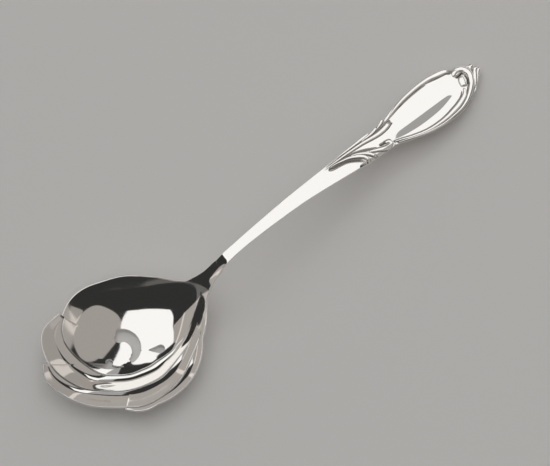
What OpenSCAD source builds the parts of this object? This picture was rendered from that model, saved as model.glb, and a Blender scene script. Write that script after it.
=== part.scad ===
// Bonbon spoon in polished silver: a pierced shell bowl of lapping petals, a plain arched stem
// and a teardrop panel framed by scrolls and leaves. X runs from the bowl to the handle's tip,
// Z is up, and the origin is at the middle of the flat under the bowl. Sizes in millimetres.

/* [Bowl] */
// Length of the oval that the bowl is raised on
bowl_l = 40; // [37:0.5:43]
// Width of that oval
bowl_w = 29.6; // [27:0.2:33]
// Depth from the oval's rim to the inside of the floor
bowl_depth = 9.6; // [8:0.1:11]
// Thickness of the bowl's sheet at its floor
sheet_t = 1; // [0.8:0.05:1.3]
// Thickness of the sheet at its rim
rim_t = 0.5; // [0.4:0.05:0.7]
// Outward slope of the lip beyond the oval
lip_slope = 0.45; // [0.3:0.05:0.6]
// Height of the step where one petal laps the next
lap_h = 0.24; // [0.16:0.02:0.5]
// Share of the oval that is planished flat underneath
rest_share = 0.22; // [0.18:0.01:0.26]

/* [Stem] */
// Distance from the bowl's centre to its joint with the stem
neck_x = 24; // [23:0.25:26]
// Width of the stem at that joint
neck_w = 2.5; // [2.2:0.1:3.1]
// Width of the stem at its narrowest
waist_w = 2.1; // [1.8:0.1:2.7]
// Thickness of the stem
stem_t = 1.8; // [1.5:0.1:2.3]
// Distance from the bowl's centre to the crown of the arch
arch_x = 38; // [36:0.5:41]
// Height of the crown above the table
arch_h = 14.7; // [13:0.1:16.5]
// Bevel along the edges of the stem and panel
edge_bevel = 0.3; // [0.15:0.05:0.4]

/* [Collar] */
// Length of the leafy collar between stem and panel
collar_l = 26; // [23:0.5:28]
// Width of the stem where the collar begins
collar_foot_w = 3.4; // [2.9:0.1:4]
// Width of the stem at the collar's curls
collar_w = 5.2; // [4.6:0.1:6]
// Height of the stem's face where the collar begins
collar_h = 13.9; // [12:0.1:15]

/* [Panel] */
// Distance from the bowl's centre to the tip of the panel
tip_x = 102; // [98:0.5:106]
// Length of the panel with its crest
panel_l = 28; // [26:0.5:30]
// Width of the panel
panel_w = 11.9; // [10.9:0.2:13.1]
// Thickness of the panel
panel_t = 2.4; // [2:0.1:2.8]
// Height of the panel's face at its foot
panel_h = 7.4; // [6:0.1:9]
// Depth of the hollow in the panel's face
hollow_d = 0.3; // [0:0.05:0.5]

/* [Mouldings] */
// Width of the panel's near moulding and its tails
border_w = 0.8; // [0.6:0.05:0.9]
// Width of the panel's far moulding at its volute
rail_w = 1.1; // [0.9:0.05:1.3]
// Width of the crest scroll over the panel's top
crest_w = 1.3; // [1:0.05:1.4]
// Height of the panel's mouldings
border_h = 0.42; // [0.3:0.02:0.6]
// Width of the collar's strands and leaves
strand_w = 0.66; // [0.5:0.02:0.7]
// Height of the strands and leaves
strand_h = 0.36; // [0.26:0.02:0.5]
// Diameter of the bead beside the tip
bead_d = 0.9; // [0.7:0.05:1.1]
// Solder film under each applied piece
solder = 0.04; // [0.02:0.01:0.06]

/* [Piercing] */
// Radius of the comma's outer edge
comma_r = 4.2; // [3.6:0.1:4.6]
// Radius of the round leaf that the comma curls about
berry_r = 2.4; // [2:0.1:2.7]
// Radius of the comma's head
comma_head_r = 1.1; // [0.8:0.05:1.3]
// Radius of the teardrop's head
drop_r = 1; // [0.7:0.05:1.2]
// Radius of the crescent's outer edge
crescent_r = 8.4; // [8:0.1:8.8]
// Width of the crescent at its middle
crescent_w = 1.1; // [0.8:0.05:1.3]
// Radius of the bud on the crescent
bud_r = 0.8; // [0.6:0.05:1]

/* [Hidden] */
silver = [0.86, 0.85, 0.83];
bright_silver = [0.94, 0.93, 0.91];
overcut = 1;
$fn = 48;

// Piecewise cubic through [x, y] points, with each inner slope the mean of its neighbours' slopes
function run_slope(p, i) = (p[i + 1].y - p[i].y) / (p[i + 1].x - p[i].x);
function knot_slope(p, i) =
    i == 0 ? run_slope(p, 0)
    : i == len(p) - 1 ? run_slope(p, i - 1)
    : (run_slope(p, i - 1) + run_slope(p, i)) / 2;
function knot_before(p, x, i = 0) = i >= len(p) - 2 || x < p[i + 1].x ? i : knot_before(p, x, i + 1);
function hermite(a, b, sa, sb, t) =
    a * (1 + 2 * t) * pow(1 - t, 2) + b * (3 - 2 * t) * pow(t, 2)
    + sa * t * pow(1 - t, 2) + sb * (t - 1) * pow(t, 2);
function curve(p, x) =
    let (i = knot_before(p, x), run = p[i + 1].x - p[i].x, t = min(1, max(0, (x - p[i].x) / run)))
    hermite(p[i].y, p[i + 1].y, knot_slope(p, i) * run, knot_slope(p, i + 1) * run, t);

function smooth(t) = let (s = min(1, max(0, t))) s * s * (3 - 2 * s);
function blend(a, b, t) = a + (b - a) * t;
function soft_min(a, b, k) = (a + b - norm([a - b, k])) / 2;
function span(a, b, pitch) = let (n = ceil((b - a) / pitch)) [for (i = [0:n - 1]) a + (b - a) * i / n];

// Triangles of the strip between two rings of n points that start at a and b in the point list
function strip(a, b, n) = [
    for (j = [0:n - 1]) let (k = (j + 1) % n) each [[a + j, b + j, b + k], [a + j, b + k, a + k]]
];
function fan(a, n) = [for (j = [1:n - 2]) [a, a + j, a + j + 1]];
function fan_back(a, n) = [for (j = [1:n - 2]) [a, a + j + 1, a + j]];

// Closed solid through a row of rings that run clockwise as seen from the row's start
module skin(rings) {
    n = len(rings[0]);
    last = len(rings) - 1;
    polyhedron(
        points = [for (ring = rings) each ring],
        faces = concat(
            [for (i = [0:last - 1]) each strip(i * n, (i + 1) * n, n)],
            fan(0, n),
            fan_back(last * n, n)
        )
    );
}

// Bowl: polar about the origin, with radii as shares of a lemon-shaped oval that swells at the petals
oval_power = 1.6;
oval_soft = 0.1;
swell = 0.25;
swell_at = 125;
swell_reach = 85;
function lemon_r(a) =
    let (along = norm([cos(a), oval_soft]) / bowl_l, across = norm([sin(a), oval_soft]) / bowl_w)
    pow(pow(along, oval_power) + pow(across, oval_power), -1 / oval_power) / 2;
function oval_r(a) = lemon_r(a) * (1 + swell * (1 - smooth(abs(a - swell_at) / swell_reach)));
floor_round = 0.55;
function rise(s) = floor_round * pow(s, 2) + (1 - floor_round) * pow(s, 4);
floor_z = sheet_t - bowl_depth * rise(rest_share);

// The wall steepens upward until it reaches the slope set for its side, and runs on straight from there
steep_line = [
    [0, 1.25], [90, 1.2], [120, 0.9], [150, 0.64], [180, 0.5], [270, 0.44], [310, 0.5], [335, 0.85],
    [360, 1.25]
];
function cube_root(v) = sign(v) * pow(abs(v), 1 / 3);
function steep_share(u) =
    let (
        p = floor_round / (1 - floor_round) / 2,
        q = u / (1 - floor_round) / 4,
        d = sqrt(pow(q, 2) / 4 + pow(p / 3, 3))
    )
    cube_root(d + q / 2) - cube_root(d - q / 2);
function wall_rise(a, s) =
    let (u = curve(steep_line, a) * oval_r(a) / bowl_depth, turn = steep_share(u))
    rise(min(s, turn)) + u * max(s - turn, 0);
lip_blend_r = 1;
function bowl_z(a, r) =
    let (oval = oval_r(a), lip = floor_z + bowl_depth + lip_slope * (r - oval))
    soft_min(floor_z + bowl_depth * wall_rise(a, r / oval), lip, lip_blend_r);

// The petals unroll from the far rim: each edge is rim at first, then a crease inside the next one
petal_starts = [0, 119, 154, 220];
petal_edges = [
    [[0, 0.92], [8, 0.91], [15, 0.875], [36, 0.905], [59, 0.95], [80, 0.93], [108, 0.945], [119, 0.915],
        [134, 0.86], [149, 0.68], [160, 0.56], [172, 0.47], [183, 0.4], [211, 0.35], [247, 0.305],
        [297, 0.37], [330, 0.6], [360, 0.92]],
    [[119, 0.95], [132, 1.055], [138, 1.065], [146, 1.015], [152, 0.975], [158, 0.93], [169, 0.805],
        [186, 0.67], [211, 0.635], [263, 0.58], [304, 0.62], [335, 0.78], [360, 0.93]],
    [[154, 1.015], [158, 1.045], [165, 1.03], [177, 0.91], [199, 0.91], [220, 0.905], [233, 0.95],
        [246, 0.92], [263, 0.865], [286, 0.84], [306, 0.82], [335, 0.87], [360, 0.94]],
    [[220, 0.935], [228, 1.005], [241, 1.025], [250, 0.985], [267, 0.905], [341, 0.93], [360, 0.97]]
];
petal_count = len(petal_edges);
edge_gap = 0.2;
step_gap = 0.18;
step_most = 0.25;
fade_from = 295;
fade_to = 345;
cup_shares = [0, 0.6, 0.4, 0.15];
neck_half = asin(neck_w / 2 / neck_x);
neck_flare = [[1, 1], [1.3, 0.9], [1.75, 0.84], [2.4, 0.79], [3.7, 0.72], [7, 0.6]];
neck_fan = [0, 0.5, 1, 1.3, 1.75, 2.4];
fan_end = 3.3 * neck_half;
angle_step = 4.8;
angles = concat(
    neck_fan * neck_half,
    span(fan_end, petal_starts[1], angle_step),
    span(petal_starts[1], petal_starts[2], angle_step),
    span(petal_starts[2], petal_starts[3], angle_step),
    span(petal_starts[3], 360 - fan_end, angle_step),
    [360 - fan_end],
    [for (i = [len(neck_fan) - 1:-1:1]) 360 - neck_fan[i] * neck_half]
);

function off_neck(a) = min(a, 360 - a);
function neck_r(a) =
    let (b = off_neck(a))
    b <= neck_half ? neck_x / cos(b) : neck_x * curve(neck_flare, b / neck_half);
fair_turns = [-6:3:6];
function mean(v) = v * [for (x = v) 1] / len(v);
function petal_share(k, a) =
    mean([for (d = fair_turns) curve(petal_edges[k], min(360, max(petal_starts[k], a + d)))]);
function petal_r(k, a) = a < petal_starts[k] ? 0 : petal_share(k, a) * oval_r(a);
function edge_r(k, a) =
    k == 0 ? petal_r(0, a)
    : max(petal_r(k, a), edge_r(k - 1, a) + edge_gap, k == petal_count - 1 ? neck_r(a) : 0);
function lap_share(k, a) =
    k < 1 || k >= petal_count || a < petal_starts[k] ? 0
    : 1 - smooth((a - fade_from) / (fade_to - fade_from));

// Each row is [petal, share of the petal's width]; the first row bounds the flat underneath
rows = [
    [0, 0], [0, 0.3], [0, 0.6], [0, 0.85], [0, 1],
    for (k = [1:petal_count - 1]) each [[k, 0], [k, 0.25], [k, 0.5], [k, 0.75], [k, 1]]
];
function row_r(row, a) =
    let (k = row[0], outer = edge_r(k, a))
    k == 0 ? blend(rest_share * oval_r(a), outer, row[1])
    : let (inner = edge_r(k - 1, a), foot = inner + min(step_gap, (outer - inner) * step_most))
    blend(foot, outer, row[1]);

// Each petal is cupped, flat at its foot and steepest at its lip, and drops there to the next one
function climb(k, a) = k < 1 ? 0 : bowl_z(a, edge_r(k, a)) - bowl_z(a, edge_r(k - 1, a));
function relief(row, a) =
    let (k = row[0], v = row[1])
    lap_h / 2 * (lap_share(k + 1, a) * v - lap_share(k, a) * (1 - v))
    - lap_share(k, a) * cup_shares[k] * climb(k, a) * v * (1 - v);

// The sheet thickens into the neck, where it ends square for the joint
thicken_r = 14;
neck_keep = 2 * neck_half;
neck_melt = 6 * neck_half;
function neck_share(a, r) = (1 - smooth((off_neck(a) - neck_keep) / neck_melt))
    * smooth((r - thicken_r) / (neck_x - thicken_r));
function wall_t(a, r) =
    blend(blend(sheet_t, rim_t, pow(r / edge_r(petal_count - 1, a), 2)), stem_t, neck_share(a, r));
slope_run = 0.1;
function slope_angle(a, r) = atan((bowl_z(a, r + slope_run) - bowl_z(a, r)) / slope_run);
function polar(a, r, z) = [r * cos(a), r * sin(a), z];
function inner_point(row, a) =
    let (r = row_r(row, a)) polar(a, r, bowl_z(a, r) + relief(row, a));
function outer_point(row, a) =
    let (r = row_r(row, a), lean = slope_angle(a, r) * (1 - neck_share(a, r)), t = wall_t(a, r))
    row == rows[0] ? polar(a, r, 0)
    : polar(a, r + t * sin(lean), bowl_z(a, r) + relief(row, a) - t * cos(lean));

module shell() {
    n = len(angles);
    m = len(rows);
    under = m * n;
    polyhedron(
        points = concat(
            [for (row = rows, a = angles) inner_point(row, a)],
            [for (row = rows, a = angles) outer_point(row, a)],
            [[0, 0, floor_z]]
        ),
        faces = concat(
            fan(under, n),
            [for (i = [0:m - 2]) each strip(under + i * n, under + (i + 1) * n, n)],
            strip(under + (m - 1) * n, (m - 1) * n, n),
            [for (i = [0:m - 2]) each strip((i + 1) * n, i * n, n)],
            [for (j = [0:n - 1]) [2 * under, (j + 1) % n, j]]
        )
    );
}

// Piercings, drawn in plan on the bowl's floor
berry = [-2.8, 2.4];
comma_at = [-2.1, 3];
comma_head = [-1.1, 5.1];
comma_tail = [-2.6, -0.5];
comma_reach = 9;
drop_at = [4, -2.9];
drop_tip = [1.9, -1.2];
crescent_at = [-2.2, 7.4];
crescent_from = 199;
crescent_to = 254;
bud_bearing = 231;
bud_sink = 0.4;
crescent_step = 5;

module comma() {
    intersection() {
        difference() {
            translate(comma_at) circle(comma_r);
            translate(berry) circle(berry_r);
        }
        polygon([
            comma_tail, berry, comma_head, [comma_head.x, comma_reach],
            [comma_reach, comma_reach], [comma_reach, -comma_reach], [comma_tail.x, -comma_reach]
        ]);
    }
    translate(comma_head) circle(comma_head_r);
}

module teardrop() {
    reach = drop_tip - drop_at;
    turn = acos(drop_r / norm(reach));
    bearing = atan2(reach.y, reach.x);
    translate(drop_at) {
        circle(drop_r);
        polygon([
            reach,
            drop_r * [cos(bearing + turn), sin(bearing + turn)],
            [0, 0],
            drop_r * [cos(bearing - turn), sin(bearing - turn)]
        ]);
    }
}

module crescent() {
    arc = span(crescent_from, crescent_to, crescent_step);
    width = function (a) crescent_w * sin(180 * (a - crescent_from) / (crescent_to - crescent_from));
    bud_at = crescent_r - crescent_w - bud_r * (1 - bud_sink);
    translate(crescent_at) {
        polygon(concat(
            [for (a = arc) crescent_r * [cos(a), sin(a)]],
            [for (i = [len(arc) - 1:-1:1]) let (a = arc[i]) (crescent_r - width(a)) * [cos(a), sin(a)]]
        ));
        translate(bud_at * [cos(bud_bearing), sin(bud_bearing)]) circle(bud_r);
    }
}

module pierce() {
    translate([0, 0, -overcut])
        linear_extrude(bowl_depth)
            children();
}

module bowl() {
    color(silver)
        difference() {
            shell();
            pierce() comma();
            pierce() teardrop();
            pierce() crescent();
        }
}

// Handle: stations along X with a half width, a face height and a thickness
collar_x = tip_x - panel_l - collar_l;
panel_x = tip_x - panel_l;
neck_z = bowl_z(0, neck_x);
spring_l = 2;
spring_slope = 0.42;
shoulder_l = 7;
shoulder_rise = 0.72;
waist_l = 3;
curls_at = 0.62;
face_line = [
    [neck_x, neck_z], [neck_x + spring_l, neck_z + spring_l * spring_slope],
    [neck_x + shoulder_l, blend(neck_z, arch_h, shoulder_rise)], [arch_x, arch_h],
    [collar_x, collar_h], [panel_x, panel_h], [tip_x, panel_t]
];
thickness_line = [[neck_x, stem_t], [collar_x, stem_t], [panel_x, panel_t], [tip_x, panel_t]];
panel_outline = [
    [0, 0.48], [0.14, 0.69], [0.32, 0.905], [0.5, 1], [0.64, 0.985], [0.75, 0.87], [0.84, 0.69],
    [0.91, 0.53], [0.965, 0.34], [1, 0.15]
];
stem_outline = [
    [neck_x, neck_w], [neck_x + waist_l, waist_w], [neck_x + 2 * waist_l, waist_w],
    [collar_x, collar_foot_w], [collar_x + curls_at * collar_l, collar_w],
    [panel_x, panel_w * panel_outline[0].y]
];

// The panel is hollowed: it drops from a far ledge, runs flat to a keel line and slopes up to the near side
hollow_line = [[0, 0], [0.12, 1], [0.58, 1], [0.72, 0], [1, 0]];
hollow_reach = [
    [0, 0.28], [0.09, 0.46], [0.19, 0.53], [0.3, 0.59], [0.42, 0.58], [0.53, 0.52], [0.61, 0.42],
    [0.68, 0.28], [1, 0.28]
];
hollow_power = 1.25;
keel_share = 0.085;
ledge_from = 0.76;
ledge_to = 0.86;

function half_w(x) =
    x < panel_x ? curve(stem_outline, x) / 2 : curve(panel_outline, (x - panel_x) / panel_l) * panel_w / 2;
function face_z(x, y) =
    let (
        s = (x - panel_x) / panel_l,
        keel = keel_share * panel_w / 2,
        climb = (-y - keel) / (curve(hollow_reach, s) * panel_w / 2 - keel),
        near = pow(min(1, max(0, climb)), hollow_power),
        far = smooth((y / half_w(x) - ledge_from) / (ledge_to - ledge_from))
    )
    curve(face_line, x) - (s <= 0 ? 0 : hollow_d * curve(hollow_line, s) * (1 - near) * (1 - far));

crest_x = blend(panel_x, tip_x, 0.8);
station_pitch = 2;
crest_pitch = 1;
stations = concat(
    span(neck_x, collar_x, station_pitch), span(collar_x, panel_x, station_pitch),
    span(panel_x, crest_x, station_pitch), span(crest_x, tip_x, crest_pitch), [tip_x]
);
face_shares = [1, ledge_to, ledge_from, 0.35, -keel_share, -0.3, -0.45, -0.6, -0.75, -1];
under_share = 0.72;

function handle_ring(x) =
    let (
        w = half_w(x), foot = under_share * w, e = edge_bevel,
        top = curve(face_line, x),
        under = top - curve(thickness_line, x)
    )
    [
        [x, foot - e, under], [x, foot, under + e], [x, w, top - e],
        for (s = face_shares) let (y = s * (w - e)) [x, y, face_z(x, y)],
        [x, -w, top - e], [x, -foot, under + e], [x, e - foot, under]
    ];

module handle() {
    color(silver) skin([for (x = stations) handle_ring(x)]);
}

// Applied mouldings: a domed strip swept over the handle's face along a smooth plan route
function route_point(p, i, t) =
    let (a = p[max(0, i - 1)], b = p[i], c = p[i + 1], d = p[min(len(p) - 1, i + 2)])
    hermite(b, c, (c - a) / 2, (d - b) / 2, t);
function route(p, steps) = concat(
    [for (i = [0:len(p) - 2], j = [0:steps - 1]) route_point(p, i, j / steps)],
    [p[len(p) - 1]]
);
function heading(p, i) =
    let (d = p[min(len(p) - 1, i + 1)] - p[max(0, i - 1)]) d / norm(d);
function on_panel(p) = [for (q = p) [panel_x + q.x * panel_l, q.y * panel_w / 2]];
function on_collar(p) = [for (q = p) [collar_x + q.x * collar_l, q.y * collar_w / 2]];
dome_angles = [0:36:180];

module moulding(points, w, h, girth, steps = 4) {
    spine = route(points, steps);
    last = len(spine) - 1;
    skin([
        for (i = [0:last])
            let (
                p = spine[i], d = heading(spine, i), g = curve(girth, i / last),
                half = [-d.y, d.x] * w * g / 2,
                left = p + half,
                right = p - half,
                seat = solder + max(face_z(p.x, p.y), face_z(left.x, left.y), face_z(right.x, right.y))
            )
            [for (a = dome_angles) let (q = p + half * cos(a)) [q.x, q.y, seat + h * sqrt(g) * sin(a)]]
    ]);
}

rail_inset = rail_w / panel_w;

module left_border() {
    color(bright_silver)
        moulding(
            on_panel(concat(
                [for (s = [0.15, 0.25, 0.35, 0.5, 0.62, 0.7]) [s, curve(panel_outline, s) - rail_inset]],
                [[0.75, 0.77], [0.78, 0.69], [0.79, 0.6]]
            )),
            rail_w, border_h, [[0, 0.3], [0.2, 0.7], [0.6, 0.9], [0.94, 1.1], [1, 0.5]]
        );
}

module right_border() {
    color(bright_silver)
        moulding(
            on_panel([
                [0.81, -0.25], [0.8, -0.38], [0.775, -0.51], [0.735, -0.61], [0.67, -0.69], [0.6, -0.745],
                [0.44, -0.785], [0.3, -0.735], [0.17, -0.58], [0.06, -0.4]
            ]),
            border_w, border_h, [[0, 0.3], [0.1, 0.9], [0.4, 0.9], [0.8, 0.55], [1, 0.25]]
        );
}

module crest_scroll() {
    color(bright_silver)
        moulding(
            on_panel([
                [0.825, 0.31], [0.838, 0.44], [0.873, 0.48], [0.908, 0.44], [0.932, 0.35], [0.943, 0.23],
                [0.942, 0.08], [0.928, -0.12], [0.9, -0.29], [0.862, -0.43], [0.815, -0.57], [0.755, -0.71],
                [0.7, -0.8], [0.64, -0.87], [0.48, -0.925], [0.34, -0.865], [0.21, -0.72], [0.09, -0.53]
            ]),
            crest_w, border_h,
            [[0, 0.5], [0.06, 1], [0.25, 1], [0.4, 0.75], [0.5, 0.58], [0.8, 0.4], [1, 0.2]], 3
        );
}

module crest_leaf() {
    color(bright_silver)
        moulding(
            on_panel([[0.825, -0.12], [0.84, 0], [0.855, 0.1], [0.87, 0.18]]),
            border_w, border_h, [[0, 0.4], [0.4, 1], [1, 0.2]]
        );
}

module finial_leaf() {
    color(bright_silver)
        moulding(
            on_panel([[0.9, -0.58], [0.94, -0.44], [0.98, -0.25], [1.01, -0.05], [1.045, 0.1]]),
            border_w, border_h, [[0, 0.2], [0.5, 0.8], [0.85, 1.1], [1, 0.6]]
        );
}

module finial_bead() {
    at = on_panel([[0.995, 0.27]])[0];
    seat = face_z(at.x, at.y) + solder;
    lift = bead_d / 6;
    color(bright_silver)
        translate([at.x, at.y, seat])
            intersection() {
                translate([0, 0, lift]) sphere(d = bead_d);
                cylinder(d = bead_d + overcut, h = bead_d);
            }
}

module collar_scroll() {
    color(bright_silver)
        moulding(
            on_collar([[0.3, 0.68], [0.45, 0.69], [0.6, 0.67], [0.85, 0.6], [1.05, 0.74], [1.115, 0.88]]),
            strand_w, strand_h, [[0, 0.2], [0.3, 0.6], [0.6, 0.9], [0.93, 1], [1, 0.5]]
        );
}

leaf_girth = [[0, 0.25], [0.55, 0.75], [1, 0.2]];

module leaf_lower() {
    color(bright_silver)
        moulding(
            on_collar([[0.46, 0.86], [0.69, 0.92], [0.83, 1.02], [0.91, 1.17]]),
            strand_w, strand_h, leaf_girth
        );
}

module leaf_middle() {
    color(bright_silver)
        moulding(on_collar([[0.81, 0.82], [0.91, 0.95], [1, 1.25]]), strand_w, strand_h, leaf_girth);
}

module leaf_upper() {
    color(bright_silver)
        moulding(on_collar([[0.93, 0.86], [1.01, 1.1], [1.09, 1.52]]), strand_w, strand_h, leaf_girth);
}

module volute_scroll() {
    color(bright_silver)
        moulding(
            on_collar([
                [0.57, 0.46], [0.67, 0.17], [0.78, -0.31], [0.865, -0.63], [0.93, -0.85],
                [0.977, -0.8], [0.98, -0.54], [0.955, -0.4]
            ]),
            strand_w, strand_h, [[0, 0.25], [0.4, 0.7], [0.7, 1], [1, 0.6]]
        );
}

module upper_curl() {
    color(bright_silver)
        moulding(
            on_collar([[0.56, 0.29], [0.67, -0.02], [0.745, -0.38], [0.78, -0.8], [0.79, -1.15]]),
            strand_w, strand_h, [[0, 0.25], [0.4, 0.6], [0.8, 1.1], [1, 0.5]]
        );
}

module lower_curl() {
    color(bright_silver)
        moulding(
            on_collar([
                [0.22, 0.42], [0.38, 0.27], [0.56, 0.1], [0.65, -0.21], [0.695, -0.6], [0.71, -1],
                [0.68, -1.23]
            ]),
            strand_w, strand_h, [[0, 0.25], [0.4, 0.6], [0.85, 1.15], [1, 0.5]]
        );
}

bowl();
handle();
left_border();
right_border();
crest_scroll();
crest_leaf();
finial_leaf();
finial_bead();
collar_scroll();
leaf_lower();
leaf_middle();
leaf_upper();
volute_scroll();
upper_curl();
lower_curl();
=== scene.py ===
import math
import bpy
import numpy as np
from mathutils import Matrix, Vector
from mathutils.geometry import delaunay_2d_cdt


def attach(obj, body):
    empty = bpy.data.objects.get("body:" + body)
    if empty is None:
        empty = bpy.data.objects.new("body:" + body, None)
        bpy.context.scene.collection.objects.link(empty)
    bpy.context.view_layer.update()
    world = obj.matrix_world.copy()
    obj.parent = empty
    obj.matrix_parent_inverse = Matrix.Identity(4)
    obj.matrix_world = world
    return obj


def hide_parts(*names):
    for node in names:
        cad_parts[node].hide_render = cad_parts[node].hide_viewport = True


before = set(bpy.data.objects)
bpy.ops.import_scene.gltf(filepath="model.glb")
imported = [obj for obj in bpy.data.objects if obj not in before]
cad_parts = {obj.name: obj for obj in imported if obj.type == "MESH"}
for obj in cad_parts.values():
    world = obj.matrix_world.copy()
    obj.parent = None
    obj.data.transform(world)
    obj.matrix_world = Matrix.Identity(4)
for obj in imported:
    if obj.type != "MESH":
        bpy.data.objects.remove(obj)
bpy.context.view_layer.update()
print("frame loaded")

mm = 0.001  # sizes below are millimetres, x runs from the bowl to the handle's tip

# the camera was fitted to the photo's outline
camera = {"azimuth": -41.5, "elevation": 68.0, "distance": 540.5, "target": (41.5, 1.35, 0.0), "lens": 157.1,
          "sensor": 36.0, "clip": (0.01, 20.0)}


def viewAxes(azimuth, elevation):
    az = math.radians(azimuth)
    el = math.radians(elevation)
    back = Vector((math.sin(az) * math.cos(el), -math.cos(az) * math.cos(el), math.sin(el)))
    side = Vector((math.cos(az), math.sin(az), 0))
    return side, back.cross(side), back


def placeCamera():
    side, up, back = viewAxes(camera["azimuth"], camera["elevation"])
    data = bpy.data.cameras.new("photoCamera")
    data.sensor_width = camera["sensor"]
    data.lens = camera["lens"]
    data.clip_start = camera["clip"][0]
    data.clip_end = camera["clip"][1]
    eye = bpy.data.objects.new("photoCamera", data)
    bpy.context.scene.collection.objects.link(eye)
    spot = (Vector(camera["target"]) + back * camera["distance"]) * mm
    turn = Matrix((side, up, back)).transposed().to_4x4()
    eye.matrix_world = Matrix.Translation(spot) @ turn
    bpy.context.scene.camera = eye


placeCamera()
print("camera placed")


def blend(a, b, t):
    return a + (b - a) * t


def smooth(t):
    s = np.clip(t, 0, 1)
    return s * s * (3 - 2 * s)


def ramp(x, span):
    # from 0 to 1, starting at the span's first number and taking its second
    return smooth((x - span[0]) / span[1])


def curveAt(points, x):
    # a soft line through a few measured points, flat beyond both ends
    p = np.asarray(points, float)
    x = np.asarray(x, float)
    run = np.diff(p[:, 0])
    rise = np.diff(p[:, 1]) / run
    slope = np.concatenate([rise[:1], (rise[1:] + rise[:-1]) / 2, rise[-1:]])
    i = np.clip(np.searchsorted(p[:, 0], x, side="right") - 1, 0, len(run) - 1)
    t = np.clip((x - p[i, 0]) / run[i], 0, 1)
    h = run[i]
    a = (1 + 2 * t) * (1 - t) ** 2 * p[i, 1] + t * (1 - t) ** 2 * h * slope[i]
    return a + t * t * (3 - 2 * t) * p[i + 1, 1] + t * t * (t - 1) * h * slope[i + 1]


def unit(v):
    return v / np.maximum(np.linalg.norm(v, axis=-1, keepdims=True), 1e-12)


def arc(center, radius, start, end, pitch=0.1):
    count = max(3, int(abs(math.radians(end - start)) * radius / pitch))
    a = np.radians(np.linspace(start, end, count))
    return np.stack([center[0] + radius * np.cos(a), center[1] + radius * np.sin(a)], 1)


def through(points, pitch=0.12, steps=24):
    # even points on a rounded line through the given ones
    p = np.asarray(points, float)
    ends = np.concatenate([[2 * p[0] - p[1]], p, [2 * p[-1] - p[-2]]])
    line = []
    for a, b, c, d in zip(ends[:-3], ends[1:-2], ends[2:-1], ends[3:]):
        t = np.linspace(0, 1, steps, endpoint=False)[:, None]
        line.append(b + (c - a) / 2 * t + (a - 2.5 * b + 2 * c - d / 2) * t ** 2
                    + (1.5 * (b - c) + (d - a) / 2) * t ** 3)
    line = np.concatenate(line + [p[-1:]])
    length = np.concatenate([[0], np.cumsum(np.linalg.norm(np.diff(line, axis=0), axis=1))])
    even = np.linspace(0, length[-1], max(8, int(length[-1] / pitch)))
    return np.stack([np.interp(even, length, line[:, i]) for i in range(p.shape[1])], 1)


def strip(first, second, closed=True, flip=False):
    # quads between two rows of point numbers
    a, b = np.asarray(first), np.asarray(second)
    if closed:
        quads = np.stack([a, b, np.roll(b, -1), np.roll(a, -1)], 1)
    else:
        quads = np.stack([a[:-1], b[:-1], b[1:], a[1:]], 1)
    return (quads[:, ::-1] if flip else quads).tolist()


def makePiece(name, points, faces, normals=None, paintedShadeAndOxide=None):
    mesh = bpy.data.meshes.new(name)
    mesh.from_pydata((np.asarray(points, float) * mm).tolist(), [], faces)
    mesh.polygons.foreach_set("use_smooth", [True] * len(mesh.polygons))
    # the mask marks painted shade, with some oxide in chased recesses, where the silver is darkened
    layer = mesh.attributes.new("paintedShadeAndOxide", "FLOAT", "POINT")
    shadeAndOxide = np.zeros(len(points)) if paintedShadeAndOxide is None else np.asarray(paintedShadeAndOxide, float)
    layer.data.foreach_set("value", shadeAndOxide.astype(np.float32))
    mesh.update()
    if normals is not None:
        mesh.normals_split_custom_set_from_vertices(unit(np.asarray(normals, float)).tolist())
    piece = bpy.data.objects.new(name, mesh)
    bpy.context.scene.collection.objects.link(piece)
    return piece


def fitPiece(piece, node, material):
    piece.data.materials.append(material)
    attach(piece, "root")
    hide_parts(node)


# the dark tone below is mixed in by the mask: painted shade in creases and grooves, partly oxide in the chased
# recesses
silver = {"color": (0.94, 0.925, 0.9), "shadeAndOxideTone": (0.06, 0.05, 0.042), "rough": 0.045, "roughMore": 0.03,
          "dull": 0.3, "wave": 900.0, "waveDetail": 3, "grain": 9000.0, "grainDetail": 2, "bump": 0.06,
          "bumpDeep": 0.00001}


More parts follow.
